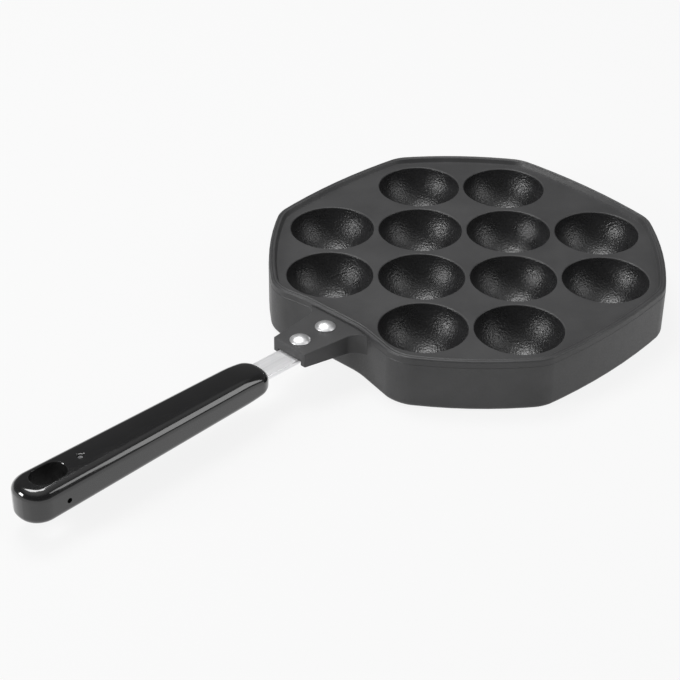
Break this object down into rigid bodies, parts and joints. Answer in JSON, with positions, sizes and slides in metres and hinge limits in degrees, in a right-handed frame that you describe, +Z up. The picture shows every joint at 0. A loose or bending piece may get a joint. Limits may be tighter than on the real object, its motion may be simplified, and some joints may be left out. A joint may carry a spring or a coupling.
{
  "type": "takoyaki pan",
  "caption": "Stove-top takoyaki pan: a dark cast pan of half-ball cavities inside a low rim, with a straight moulded grip on a flat strap riveted under its lug.",
  "frame": {"origin": "middle of the cavity grid, in the plane that the pan stands on", "axes": "+Z up out of the cavities, +X along the long rows of cavities, +Y away from the handle's side"},
  "size_m": [0.2772, 0.2857, 0.0258],
  "materials": {
    "pan_coating": "satin",
    "strap_steel": "satin",
    "rivet_metal": "polished",
    "grip_phenolic": "gloss",
    "pin_steel": "satin"
  },
  "bodies": {
    "root": {"pan_body": "pan_coating", "handle_strap": "strap_steel", "rivet_inner": "rivet_metal", "rivet_outer": "rivet_metal", "handle_grip": "grip_phenolic", "grip_pin": "pin_steel"}
  },
  "joints": []
}
